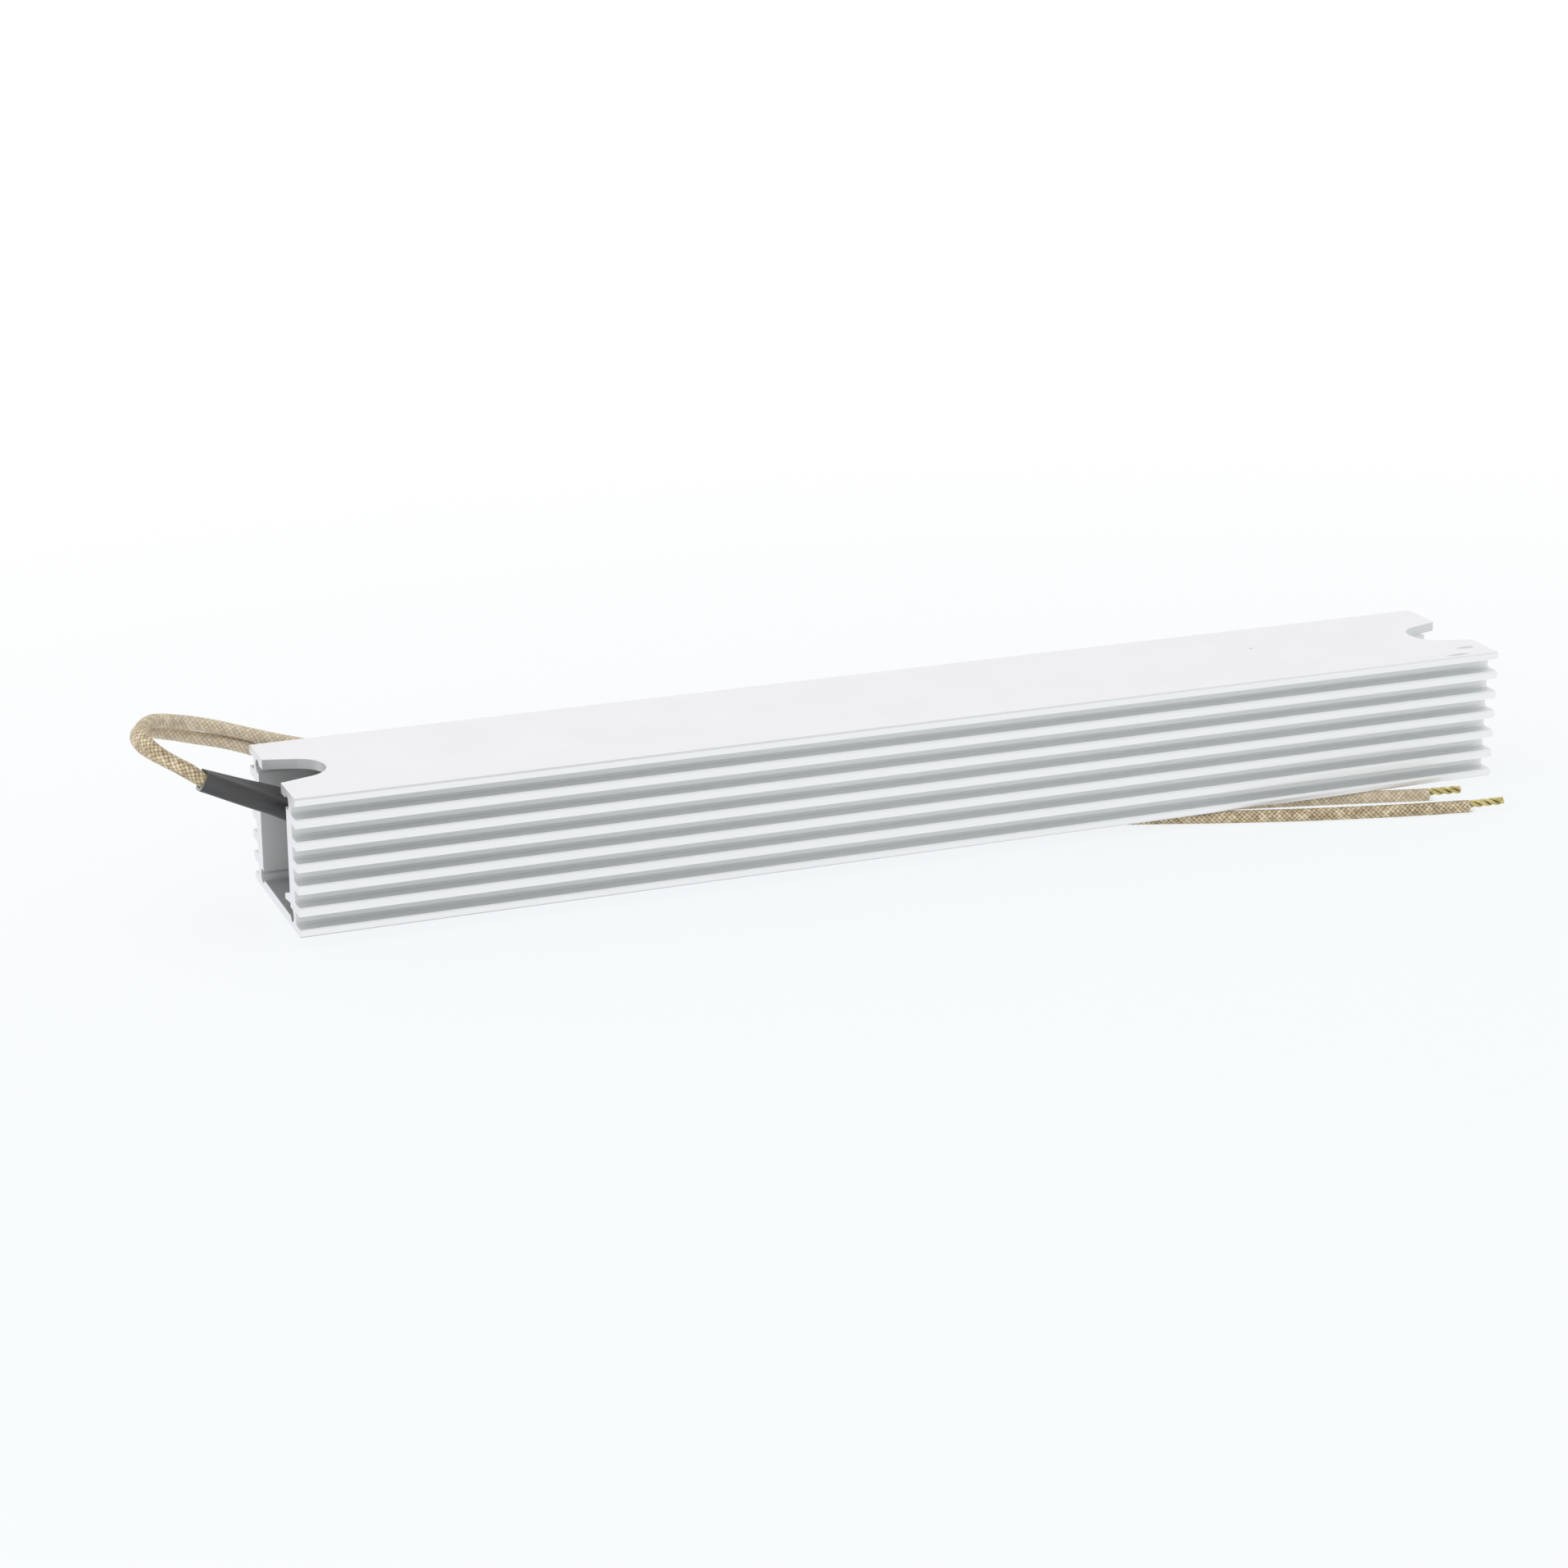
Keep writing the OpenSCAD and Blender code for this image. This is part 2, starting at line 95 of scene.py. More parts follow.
LEAD_B_RUN = [
    (41, 19.3), (51, 15.3), (63, 11.8), (76, 9.3), (90, 7.8), (104, 6.3), (118, 4.2), (132, 1.6),
    (146, -1.5), (160, -5.3), (173, -9.3), (186, -13.7), (197, -17.5), (205.5, -20.2),
    (214, -22.7), (222, -24.8), (231, -27), (239, -28.7), (247, -30.2),
]
RUN_Z = FLOOR_Z + LEAD_D / 2


def from_lead_end(points):
    """Points in millimetres from the lead end's plane, as metres in the part's frame."""
    return np.array(points, float) * MM + [LEAD_END_X, 0, 0]


def step_lengths(line):
    return np.linalg.norm(np.diff(line, axis=0), axis=1)


def distance_along(line):
    """Distance along a line from its first point to each of its points."""
    return np.concatenate([[0], np.cumsum(step_lengths(line))])


def share_of(values, low, high):
    """0 at low, 1 at high, and even between them."""
    return np.clip((values - low) / (high - low), 0, 1)


def smooth_line(points, spacing):
    """Points at even spacing on a natural cubic spline through the given ones."""
    steps = step_lengths(points)
    at = distance_along(points)
    n = len(points)
    lhs = np.zeros((n, n))
    rhs = np.zeros((n, 3))
    lhs[0, 0] = lhs[-1, -1] = 1
    for i in range(1, n - 1):
        lhs[i, i - 1 : i + 2] = steps[i - 1], 2 * (steps[i - 1] + steps[i]), steps[i]
        rhs[i] = 6 * (
            (points[i + 1] - points[i]) / steps[i] - (points[i] - points[i - 1]) / steps[i - 1]
        )
    curve = np.linalg.solve(lhs, rhs)
    t = np.linspace(0, at[-1], int(at[-1] / spacing) + 1)
    k = np.clip(np.searchsorted(at, t) - 1, 0, n - 2)
    h = steps[k][:, None]
    a = ((at[k + 1] - t) / steps[k])[:, None]
    b = 1 - a
    return (
        a * points[k]
        + b * points[k + 1]
        + ((a**3 - a) * curve[k] + (b**3 - b) * curve[k + 1]) * h**2 / 6
    )


def line_frames(line, first):
    """Heading, normal and side vectors at each point of a line, carried along without twist."""
    along = np.gradient(line, axis=0)
    along /= np.linalg.norm(along, axis=1)[:, None]
    normal = np.zeros_like(line)
    n = np.array(first, float)
    for i, t in enumerate(along):
        n = n - t * (n @ t)
        n /= np.linalg.norm(n)
        normal[i] = n
    return along, normal, np.cross(along, normal)


def rings_round(line, normal, side, radius, sides):
    """Rings of points round a line; the radius is one number, or one for each ring and side."""
    angle = 2 * np.pi * np.arange(sides)[None, :, None] / sides
    outward = np.cos(angle) * normal[:, None, :] + np.sin(angle) * side[:, None, :]
    return line[:, None, :] + np.asarray(radius)[..., None] * outward


def tube_points(line, radius, sides, first):
    """Points of a round tube along a line, ring after ring."""
    _, normal, side = line_frames(line, first)
    return rings_round(line, normal, side, radius, sides).reshape(-1, 3)


def grid_faces(rings, sides, start=0):
    """Quads of an open tube whose rings follow one another, numbered from start."""
    i, k = np.meshgrid(np.arange(rings - 1), np.arange(sides), indexing="ij")
    n = (k + 1) % sides
    a = start + i * sides
    quads = np.stack([a + k, a + n, a + sides + n, a + sides + k], axis=-1)
    return quads.reshape(-1, 4).tolist()


def tube_faces(rings, sides, start=0):
    """Quads of a tube with a cap at each end."""
    last = start + (rings - 1) * sides
    caps = [list(range(start, start + sides))[::-1], list(range(last, last + sides))]
    return grid_faces(rings, sides, start) + caps


def add_mesh(name, points, faces):
    mesh = bpy.data.meshes.new(name)
    mesh.from_pydata(np.asarray(points).tolist(), [], faces)
    mesh.validate()
    mesh.polygons.foreach_set("use_smooth", [True] * len(mesh.polygons))
    obj = bpy.data.objects.new(name, mesh)
    bpy.context.scene.collection.objects.link(obj)
    return obj


def add_numbers(obj, name, values):
    """Stores one number a vertex for the material to read."""
    attribute = obj.data.attributes.new(name, "FLOAT", "POINT")
    attribute.data.foreach_set("value", np.asarray(values, np.float32))


# Middle line of the sleeve, and the direction from the first lead to the second along it. The pair
# turns about the line from the plug to the mouth.
SLEEVE_STEP = 0.4 * MM
PAIR_HALF = 1.57 * MM
PAIR_TURN_PLUG = math.radians(45)
PAIR_TURN_MOUTH = math.radians(-8)
sleeve_line = smooth_line(from_lead_end(SLEEVE_ROUTE), SLEEVE_STEP)
sleeve_along, sideways, downwards = line_frames(sleeve_line, (0, 1, 0))
pair_turn = np.linspace(PAIR_TURN_PLUG, PAIR_TURN_MOUTH, len(sleeve_line))[:, None]
pair_axis = np.cos(pair_turn) * sideways - np.sin(pair_turn) * downwards

# Braid of the leads: two sets of carriers wound opposite ways, over and under in turn.
BRAID_SIDES = 48
BRAID_STEP = 0.2 * MM
CARRIERS = 8
CARRIER_REPEAT = 1.05 * MM
BRAID_RELIEF = 0.11 * MM
CROWN_SQUARENESS = 0.7
CROWN_SHARE = 0.55
WEAVE_SHARE = 0.45
FIRST_TONE_TURN = 12.9898
SECOND_TONE_TURN = 78.233
SECOND_TONE_START = 1

# A lead's route takes every eighth point of the sleeve's line, and its last point.
SLEEVE_STRIDE = 8
SLEEVE_LAST_GAP = 4

# Cut end of a braid: how ragged it is, and its loose fibres.
RAGGED_END = 0.7 * MM
FRAY_HAIRS = 14
HAIR_R = 0.03 * MM
HAIR_SIDES = 3
HAIR_POINTS = 6
HAIR_ROOT = -0.4
HAIR_DEPTH = 0.12 * MM
HAIR_REACH = 0.4 * MM, 1.1 * MM
HAIR_SPREAD = -0.3 * MM, 0.25 * MM

# Painted light on the braid: paler where it loops, and towards the far lead's cut end.
LOOP_PAINTED_LIGHT = 0.36
LOOP_PAINTED_LIGHT_Y = 6 * MM, 22 * MM
END_PAINTED_LIGHTS = {"a": 0.28, "b": 0.0}
END_PAINTED_LIGHT_X = 60 * MM, 100 * MM

FRAY_SEED = 7
chance = np.random.default_rng(FRAY_SEED)


def carrier_height(across, over):
    """Height 0 to 1 of a carrier: round across its width, and raised where it goes over."""
    crown = np.sin(np.pi * across) ** CROWN_SQUARENESS
    return CROWN_SHARE * crown + WEAVE_SHARE * (0.5 + 0.5 * over)


def braid_height(around, along):
    """Height 0 to 1 of the braid, and a tone 0 to 1 for the carrier on top."""
    first = around * CARRIERS + along / CARRIER_REPEAT
    second = around * CARRIERS - along / CARRIER_REPEAT
    i = np.floor(first)
    j = np.floor(second)
    sign_i = 1 - 2 * (i % 2)
    sign_j = 1 - 2 * (j % 2)
    height_i = carrier_height(first - i, sign_i * np.cos(np.pi * (second - 0.5)))
    height_j = carrier_height(second - j, -sign_j * np.cos(np.pi * (first - 0.5)))
    top_i = height_i > height_j
    tone_i = np.sin(FIRST_TONE_TURN * (i % CARRIERS))
    tone_j = np.sin(SECOND_TONE_TURN * (j % CARRIERS) + SECOND_TONE_START)
    return np.where(top_i, height_i, height_j), 0.5 + 0.5 * np.where(top_i, tone_i, tone_j)


def lead_line(side, loop, run):
    """Centre line of a lead from the plug's face to where the braid ends."""
    in_sleeve = sleeve_line + side * PAIR_HALF * pair_axis
    start = np.concatenate([in_sleeve[:-SLEEVE_LAST_GAP:SLEEVE_STRIDE], in_sleeve[-1:]])
    air = from_lead_end(loop)
    flat = from_lead_end([(u, y, 0) for u, y in run])
    flat[:, 2] = RUN_Z
    line = smooth_line(np.concatenate([start, air, flat]), BRAID_STEP)
    landed = np.argmin(np.linalg.norm(line - flat[0], axis=1))
    line[:, 2] = np.maximum(line[:, 2], RUN_Z)
    line[landed:, 2] = RUN_Z
    return line


def fray_hairs(end, ahead, normal, side, start):
    """Loose fibres round the cut end of a braid: their points, and faces numbered from start."""
    points = []
    faces = []
    t = np.linspace(HAIR_ROOT, 1, HAIR_POINTS)[:, None]
    for _ in range(FRAY_HAIRS):
        angle = chance.uniform(0, 2 * np.pi)
        reach = chance.uniform(*HAIR_REACH)
        spread = chance.uniform(*HAIR_SPREAD)
        out = np.cos(angle) * normal + np.sin(angle) * side
        root = end + out * (LEAD_D / 2 - HAIR_DEPTH)
        hair = root + ahead * reach * t + out * spread * t * np.abs(t)
        faces += tube_faces(HAIR_POINTS, HAIR_SIDES, start + len(points) * HAIR_POINTS * HAIR_SIDES)
        points.append(tube_points(hair, HAIR_R, HAIR_SIDES, out))
    return np.concatenate(points), faces


def braided_lead(name, line, end_painted_light):
    along, normal, side = line_frames(line, (0, 0, 1))
    around = np.arange(BRAID_SIDES) / BRAID_SIDES
    height, tone = braid_height(around[None, :], distance_along(line)[:, None])
    radius = LEAD_D / 2 - BRAID_RELIEF * (1 - height)
    rings = rings_round(line, normal, side, radius, BRAID_SIDES)
    rings[-1] -= chance.uniform(0, RAGGED_END, BRAID_SIDES)[:, None] * along[-1]
    points = rings.reshape(-1, 3)
    hairs, hair_faces = fray_hairs(line[-1], along[-1], normal[-1], side[-1], len(points))
    faces = tube_faces(len(line), BRAID_SIDES) + hair_faces
    obj = add_mesh(name, np.concatenate([points, hairs]), faces)
    pale = np.ones(len(hairs))
    add_numbers(obj, "braid_height", np.concatenate([height.reshape(-1), pale]))
    add_numbers(obj, "braid_tone", np.concatenate([tone.reshape(-1), pale]))
    # Painted light: paler where the loop rises behind, and towards the end given.
    painted_light = LOOP_PAINTED_LIGHT * share_of(points[:, 1], *LOOP_PAINTED_LIGHT_Y)
    painted_light += end_painted_light * share_of(points[:, 0], *END_PAINTED_LIGHT_X)
    add_numbers(obj, "painted_light", np.concatenate([painted_light, end_painted_light * pale]))
    return obj


lead_lines = {
    "a": lead_line(-1, LEAD_A_LOOP, LEAD_A_RUN),
    "b": lead_line(1, LEAD_B_LOOP, LEAD_B_RUN),
}
leads = {}
for key, line in lead_lines.items():
    leads[key] = braided_lead(f"braided_lead_{key}", line, END_PAINTED_LIGHTS[key])
    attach(leads[key], "root")
    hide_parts(f"lead_{key}")

# Stripped ends: three groups of fine wires laid up as a rope, which rises a little from the braid.
# In each group the wires lie round one in the middle.
STRIP_LENGTHS = {"a": 6.7 * MM, "b": 7.5 * MM}
ROPE_RISES = {"a": 0.6 * MM, "b": 0.42 * MM}
ROPE_TILT = 0.045
ROPE_R = 0.85 * MM
ROPE_HEADING_SPAN = 8
GROUPS = 3
GROUP_R = 0.43 * MM
GROUP_LAY = 6.1 * MM
OUTER_WIRES = 6
WIRE_R = GROUP_R / 3
WIRE_LAY = 5 * MM
WIRE_SIDES = 8
WIRE_STEP = 0.15 * MM
WIRE_TUCK = 3 * WIRE_STEP

# Painted shade in the gaps between the groups, strongest at the rope's sides.
GAP_OUT = 0.76
GAP_FADE = 0.2
GAP_SIDE_GAIN = 1.2
GAP_SIDE_SHIFT = 0.15
GAP_LEAST = 0.2
GAP_AXIS = 0.1


def winding(s, lay, share, radius):
    """Places across the rope, at the distances s along it, of a line that winds round."""
    angle = 2 * np.pi * (s / lay + share)
    return radius * np.stack([np.cos(angle), np.sin(angle)], axis=1)


def rope_end(name, end, ahead, length, rise):
    ahead = ahead / np.linalg.norm(ahead) + [0, 0, ROPE_TILT]
    ahead /= np.linalg.norm(ahead)
    left = np.cross((0, 0, 1), ahead)
    left /= np.linalg.norm(left)
    up = np.cross(ahead, left)
    s = np.arange(-WIRE_TUCK, length + WIRE_STEP / 2, WIRE_STEP)
    points = []
    faces = []
    for g in range(GROUPS):
        group = winding(s, GROUP_LAY, g / GROUPS, ROPE_R - GROUP_R)
        for w, reach in enumerate([0] + [2 * WIRE_R] * OUTER_WIRES):
            wire = group + winding(s, WIRE_LAY, w / OUTER_WIRES, reach)
            line = end + s[:, None] * ahead + wire[:, :1] * left + (wire[:, 1:] + rise) * up
            faces += tube_faces(len(s), WIRE_SIDES, len(points) * len(s) * WIRE_SIDES)
            points.append(tube_points(line, WIRE_R, WIRE_SIDES, up))
    points = np.concatenate(points)
    obj = add_mesh(name, points, faces)
    from_axis = points - end - rise * up
    to_side = np.abs(from_axis @ left) / ROPE_R
    out = np.hypot(to_side, from_axis @ up / ROPE_R)
    # Painted shade in the gaps between the groups.
    gap = np.clip((GAP_OUT - out) / GAP_FADE, 0, 1)
    side_share = GAP_SIDE_GAIN * to_side / np.maximum(out, GAP_AXIS) - GAP_SIDE_SHIFT
    add_numbers(obj, "gap", gap * np.clip(side_share, GAP_LEAST, 1))
    return obj


ropes = {}
for key, line in lead_lines.items():
    heading = line[-1] - line[-ROPE_HEADING_SPAN]
    ropes[key] = rope_end(
        f"stripped_end_{key}", line[-1], heading, STRIP_LENGTHS[key], ROPE_RISES[key]
    )
    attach(ropes[key], "root")
    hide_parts(f"conductor_{key}")

# Sleeve round both leads: a flat oval, drawn in between them, with a snipped mouth.
SLEEVE_WALL = 0.7 * MM
BORE_GAP = 0.12 * MM
BORE_R = LEAD_D / 2 + BORE_GAP
SLEEVE_SIDES = 64
SLEEVE_ANGLES = 2 * np.pi * (np.arange(SLEEVE_SIDES) + 0.5) / SLEEVE_SIDES
OVAL_FLATNESS = 3
WAIST_PLUG = 0.85 * MM
WAIST_MOUTH = 0.15 * MM
INNER_WAIST_SHARE = 0.6
MOUTH_SLANT = 0.35 * MM
MOUTH_TIP = 0.8 * MM
MOUTH_TIP_AT = math.radians(-75)
MOUTH_TIP_WIDTH = 0.3
MOUTH_RIM = 0.08 * MM

# Painted highlight on the cut edge at the mouth, strongest on its lower side.
CUT_EDGE_SHIFT = 0.25
CUT_EDGE_LEAST = 0.15


def sleeve_skin(line, along, axis, radius, waist, mouth):
    """Rings of a flat oval along the line; each is drawn in by its own waist."""
    x = radius * np.cos(SLEEVE_ANGLES) + PAIR_HALF * np.tanh(OVAL_FLATNESS * np.cos(SLEEVE_ANGLES))
    drawn = np.exp(-((x / PAIR_HALF) ** 2))[None, :] * waist[:, None] / radius
    y = radius * np.sin(SLEEVE_ANGLES)[None, :] * (1 - drawn)
    points = (
        line[:, None, :]
        + x[None, :, None] * axis[:, None, :]
        + y[:, :, None] * np.cross(along, axis)[:, None, :]
    )
    points[-2:] += mouth[None, :, None] * along[-1]
    return points.reshape(-1, 3)


def make_sleeve():
    """Outer and inner skin, joined at the plug and at the mouth, with a narrow rim before the mouth."""
    line = np.insert(sleeve_line, -1, sleeve_line[-1] - MOUTH_RIM * sleeve_along[-1], axis=0)
    along = np.insert(sleeve_along, -1, sleeve_along[-1], axis=0)
    axis = np.insert(pair_axis, -1, pair_axis[-1], axis=0)
    rings = len(line)
    waist = np.linspace(WAIST_PLUG, WAIST_MOUTH, rings)
    off_tip = np.angle(np.exp(1j * (SLEEVE_ANGLES - MOUTH_TIP_AT)))
    mouth = MOUTH_TIP * np.exp(-((off_tip / MOUTH_TIP_WIDTH) ** 2))
    mouth += MOUTH_SLANT * (1 + np.sin(SLEEVE_ANGLES))
    outer = sleeve_skin(line, along, axis, BORE_R + SLEEVE_WALL, waist, mouth)
    inner = sleeve_skin(line, along, axis, BORE_R, INNER_WAIST_SHARE * waist, mouth)
    skin = rings * SLEEVE_SIDES
    last = (rings - 1) * SLEEVE_SIDES
    faces = grid_faces(rings, SLEEVE_SIDES)
    faces += [f[::-1] for f in grid_faces(rings, SLEEVE_SIDES, skin)]
    for k in range(SLEEVE_SIDES):
        n = (k + 1) % SLEEVE_SIDES
        faces.append([last + k, last + n, skin + last + n, skin + last + k])
        faces.append([k, skin + k, skin + n, n])
    obj = add_mesh("shrunk_sleeve", np.concatenate([outer, inner]), faces)
    # Painted highlight on the cut edge at the mouth.
    cut_edge_highlight = np.zeros((2, rings, SLEEVE_SIDES))
    cut_edge_highlight[:, -1] = np.clip(CUT_EDGE_SHIFT + np.sin(SLEEVE_ANGLES), CUT_EDGE_LEAST, 1)
    add_numbers(obj, "cut_edge_highlight", cut_edge_highlight.reshape(-1))
    # Painted highlight along the first lead's side of the sleeve.
    crown = np.clip(-np.cos(SLEEVE_ANGLES), 0, 1) ** 2
    add_numbers(obj, "crown", np.broadcast_to(crown, (2, rings, SLEEVE_SIDES)).reshape(-1))
    return obj


sleeve = make_sleeve()
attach(sleeve, "root")
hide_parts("sleeve")

# Sockets of a node that mixes two colours.
MIX_FACTOR = 0
MIX_FIRST = 6
MIX_SECOND = 7
MIX_RESULT = 2


class Surface:
    """A new material with its shader, and short ways to add nodes to it."""

    def __init__(self, name, colour, roughness, metallic=0.0):
        self.material = bpy.data.materials.new(name)
        self.material.use_nodes = True
        self.tree = self.material.node_tree
        self.shader = self.tree.nodes["Principled BSDF"]
        self.set("Base Color", (*colour, 1))
        self.set("Roughness", roughness)
        self.set("Metallic", metallic)
        self.place = self.tree.nodes.new("ShaderNodeTexCoord").outputs["Object"]

    def set(self, socket, value):
        self.shader.inputs[socket].default_value = value

    def link(self, output, socket):
        self.tree.links.new(output, self.shader.inputs[socket])

    def _feed(self, node, index, value):
        if hasattr(value, "links"):
            self.tree.links.new(value, node.inputs[index])
        else:
            node.inputs[index].default_value = value

    def stretched(self, x, y, z):
        """The place on the object, scaled along each axis."""
        node = self.tree.nodes.new("ShaderNodeMapping")
        self.tree.links.new(self.place, node.inputs["Vector"])
        node.inputs["Scale"].default_value = (x, y, z)
        return node.outputs["Vector"]

    def noise(self, vector, scale, detail=3, rough=0.5):
        node = self.tree.nodes.new("ShaderNodeTexNoise")
        self.tree.links.new(vector, node.inputs["Vector"])
        node.inputs["Scale"].default_value = scale
        node.inputs["Detail"].default_value = detail
        node.inputs["Roughness"].default_value = rough
        return node.outputs["Fac"]

    def math(self, operation, a, b=0.0, c=0.0):
        node = self.tree.nodes.new("ShaderNodeMath")
        node.operation = operation
        for index, value in enumerate((a, b, c)):
            self._feed(node, index, value)
        return node.outputs[0]

    def times(self, a, b):
        return self.math("MULTIPLY", a, b)

    def most(self, a, b):
        return self.math("MAXIMUM", a, b)

    def absolute(self, value):
        return self.math("ABSOLUTE", value)

    def fit(self, value, low, high, to_low=0.0, to_high=1.0):
        """Maps low to high onto another range, clamped."""
        node = self.tree.nodes.new("ShaderNodeMapRange")
        for index, number in enumerate((value, low, high, to_low, to_high)):
            self._feed(node, index, number)
        return node.outputs[0]

    def near(self, value, limit, starts, full):
        """Rises from 0 to 1 between two distances short of a limit."""
        return self.fit(value, limit - starts, limit - full)

    def mix(self, factor, first, second):
        node = self.tree.nodes.new("ShaderNodeMix")
        node.data_type = "RGBA"
        self._feed(node, MIX_FACTOR, factor)
        self._feed(node, MIX_FIRST, first if hasattr(first, "links") else (*first, 1))
        self._feed(node, MIX_SECOND, second if hasattr(second, "links") else (*second, 1))
        return node.outputs[MIX_RESULT]

    def axes(self, vector):
        node = self.tree.nodes.new("ShaderNodeSeparateXYZ")
        self.tree.links.new(vector, node.inputs[0])
        return node.outputs

    def facing(self):
        """Direction of the surface, x, y and z."""
        return self.axes(self.tree.nodes.new("ShaderNodeNewGeometry").outputs["Normal"])

    def direction(self, x, y, z):
        """Unit vector from three numbers."""
        joined = self.tree.nodes.new("ShaderNodeCombineXYZ")
        for index, value in enumerate((x, y, z)):
            self._feed(joined, index, value)
        unit = self.tree.nodes.new("ShaderNodeVectorMath")
        unit.operation = "NORMALIZE"
        self.tree.links.new(joined.outputs[0], unit.inputs[0])
        return unit.outputs[0]

    def stored(self, name):
        node = self.tree.nodes.new("ShaderNodeAttribute")
        node.attribute_name = name
        return node.outputs["Fac"]

    def bump(self, height, strength, distance, below=None):
        node = self.tree.nodes.new("ShaderNodeBump")
        node.inputs["Strength"].default_value = strength
        node.inputs["Distance"].default_value = distance
        self.tree.links.new(height, node.inputs["Height"])
        if below is not None:
            self.tree.links.new(below, node.inputs["Normal"])
        self.tree.links.new(node.outputs["Normal"], self.shader.inputs["Normal"])
        return node.outputs["Normal"]


# Stretches of a noise's values that tones are spread over.
NOISE_WIDE = 0.3, 0.7
NOISE_NARROW = 0.35, 0.65

# Tones of the housing; the grooves take a painted shade, darker towards the left end.
FACE_TONES = (0.855, 0.853, 0.87), (0.872, 0.87, 0.885)
GROOVE_SHADE_TONES = (0.745, 0.762, 0.766), (0.805, 0.823, 0.827)
GROOVE_SHADE_TONES_X = -110 * MM, -20 * MM
HOLLOW_SHADE_TONE = (0.5, 0.505, 0.51)
SAWN_TONE = (0.82, 0.817, 0.845)
TIP_TONE = (0.866, 0.874, 0.883)
ROLLED_PAINTED_LIGHT_TONE = (0.945, 0.953, 0.957)
EDGE_LINE_SHADE_TONE = (0.62, 0.63, 0.64)
DARK_MARK_TONE = (0.6, 0.6, 0.615)

# Plates and sawn ends take their own tone from just below their faces, and the bevelled tips of
# the fins and flanges from their full depth.
FACE_DEPTHS = 0.15 * MM, 0.05 * MM
TIP_DEPTH = 0.45 * MM

# The lower edges of fins and flanges are rolled over: their shading normals lean towards the tips' so
# they catch the same light, and a paler tone on them is painted light.
ROLLED_FACING = -0.35, -0.6
ROLLED_DEPTHS = 0.55 * MM, 0.5 * MM
ROLLED_LEAN = 3

# Half width and half height of the hollow, which takes a painted shade on its floor and behind the
# notches.
HOLLOW_Y = 10.8 * MM
HOLLOW_Z = 11.75 * MM
HOLLOW_WALL_DEPTHS = 0.5 * MM, 0.3 * MM
HOLLOW_DEPTHS = 9 * MM, 13 * MM
HOLLOW_FLOOR_FADE = 0.2 * MM
NOTCH_CUT_FADE = 0.3 * MM
NOTCH_CUT_SHARE = 0.35

# A thin line of painted shade along the plates' bevelled long edges, weaker towards the blind end.
EDGE_LINE_DEPTHS = 0.55 * MM, 0.45 * MM
EDGE_LINE_WIDTH = 0.25 * MM
EDGE_LINE_SHARE = 0.9
EDGE_LINE_FADE_X = -80 * MM
EDGE_LINE_END_SHARE = 0.3

# Darker marks on the top plate: middle and half lengths in millimetres.
DARK_MARKS = [((125.4, -12.3), (2.3, 0.8)), ((121.1, -16.3), (2.9, 0.6)), ((82.8, 4), (0.5, 0.5))]
DARK_MARK_RIM = 1.2, 0.4
DARK_MARK_DEPTHS = 0.1 * MM, 0.05 * MM
DARK_MARK_PATCH_SCALE = 900
DARK_MARK_PATCHES = 0.3, 0.6, 0.5, 1

# Noise per metre of the cloudy sheen, and of the fine lines that the die left along the housing
# and the saw across its ends.
CLOUD_SCALE = 70
DIE_LINES = 4, 1500, 1500
SAW_LINES = 1, 300, 3000
DIE_SHARE = 0.3
CLOUD_SHARE = 0.7
HOUSING_ROUGHNESS = 0.43, 0.5
LINE_STRENGTH = 0.05
LINE_DEPTH = 0.02 * MM


def dark_mark_share(s, x, y, z):
    """1 on the darker marks of the top plate."""
    dark_mark = 0.0
    for (mid_x, mid_y), (half_x, half_y) in DARK_MARKS:
        across_x = s.math("DIVIDE", s.math("SUBTRACT", x, mid_x * MM), half_x * MM)
        across_y = s.math("DIVIDE", s.math("SUBTRACT", y, mid_y * MM), half_y * MM)
        square = s.math("MULTIPLY_ADD", across_x, across_x, s.times(across_y, across_y))
        dark_mark = s.most(dark_mark, s.fit(square, *DARK_MARK_RIM))
    on_top = s.near(z, HOUSING_HIGH.z, *DARK_MARK_DEPTHS)
    patches = s.fit(s.noise(s.place, DARK_MARK_PATCH_SCALE), *DARK_MARK_PATCHES)
    return s.times(s.times(dark_mark, on_top), patches)


def hollow_shade_share(s, x, out, z, plate):
    """Share of painted shade: 1 deep in the hollow and on its floor, less on the notches' cut edges."""
    inside = s.fit(out, *(HOLLOW_Y + depth for depth in HOLLOW_WALL_DEPTHS))
    hollow = s.times(inside, s.fit(plate, 1, 0))
    deep = s.near(s.absolute(x), HOUSING_HIGH.x, *HOLLOW_DEPTHS)
    on_floor = s.fit(z, HOLLOW_FLOOR_FADE - HOLLOW_Z, -HOLLOW_Z)
    on_cut = s.fit(z, HOLLOW_Z - NOTCH_CUT_FADE, HOLLOW_Z, 0, NOTCH_CUT_SHARE)
    return s.times(hollow, s.most(deep, s.most(on_floor, on_cut)))


def edge_line_shade_share(s, x, out, high):
    """1 on the line of painted shade along the plates' long edges."""
    on_plate = s.near(high, HOUSING_HIGH.z, *EDGE_LINE_DEPTHS)
    bevel = s.times(on_plate, s.near(out, HOUSING_HIGH.y, *EDGE_LINE_DEPTHS))
    inner = s.fit(out, HOUSING_HIGH.y, HOUSING_HIGH.y - EDGE_LINE_WIDTH, 0, EDGE_LINE_SHARE)
    fade = s.fit(x, EDGE_LINE_FADE_X, HOUSING_HIGH.x, 1, EDGE_LINE_END_SHARE)
    return s.times(s.times(bevel, inner), fade)


